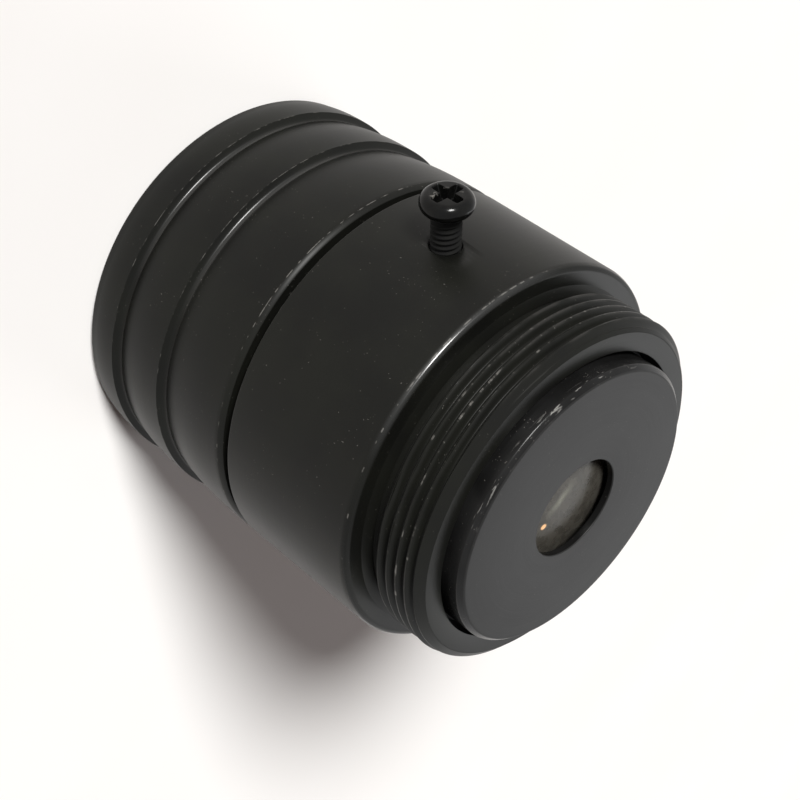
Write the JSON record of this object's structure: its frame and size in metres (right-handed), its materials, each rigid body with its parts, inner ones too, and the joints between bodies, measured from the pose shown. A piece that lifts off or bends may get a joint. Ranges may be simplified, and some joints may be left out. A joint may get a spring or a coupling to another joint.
{
  "type": "cctv lens",
  "caption": "Small manual-focus camera lens with a three-band grip ring, a lock screw, a raised rear cap with a round window and a one-inch mount thread.",
  "frame": {"origin": "on the optical axis, in the plane of the front rim, on which the lens stands", "axes": "+Z along the optical axis from the front rim to the mount thread, +X through the lock screw"},
  "size_m": [0.0321, 0.0282, 0.0332],
  "materials": {
    "anodised": "satin black anodised, fine turned",
    "blackened": "matt black anodised",
    "cap": "satin black anodised, face lighter than the side",
    "glass": "polished and coated",
    "steel_pin": "ground",
    "nylon": "matt",
    "screw": "glossy black"
  },
  "bodies": {
    "mount": {"mount_barrel": "anodised", "guide_pin": "steel_pin"},
    "cell": {"lens_cell": "blackened", "cell_nut": "blackened", "slip_washer": "nylon", "trim_ring": "blackened", "front_element": "glass", "front_retainer": "blackened", "front_spacer": "blackened", "second_element": "glass", "aperture_stop": "blackened", "stop_spacer": "blackened", "flint_element": "glass", "crown_element": "glass", "rear_spacer": "blackened", "rear_element": "glass", "rear_retainer": "blackened", "rear_cap": "cap"},
    "grip": {"focus_ring": "anodised", "focus_sleeve": "blackened"},
    "pad": {"lock_pad": "nylon"},
    "screw": {"lock_screw": "screw"}
  },
  "joints": [
    {"name": "cell_slide", "type": "slide", "parent": "mount", "child": "cell", "axis": [0, 0, 1], "range_m": [-0.0014, 0.0004]},
    {"name": "grip_turn", "type": "hinge", "parent": "cell", "child": "grip", "pos_m": [0, 0, 0], "axis": [0, 0, 1], "range_deg": [-210, 60]},
    {"name": "pad_slide", "type": "slide", "parent": "mount", "child": "pad", "axis": [1, 0, 0], "range_m": [-0.0003, 0.0008]},
    {"name": "screw_turn", "type": "hinge", "parent": "pad", "child": "screw", "pos_m": [0, 0, 0.0209], "axis": [1, 0, 0], "range_deg": [-270, 720]}
  ],
  "couplings": [
    {"joint": "grip_turn", "follows": "cell_slide", "rad_per_m": 2617.9},
    {"joint": "screw_turn", "follows": "pad_slide", "rad_per_m": 15708}
  ]
}
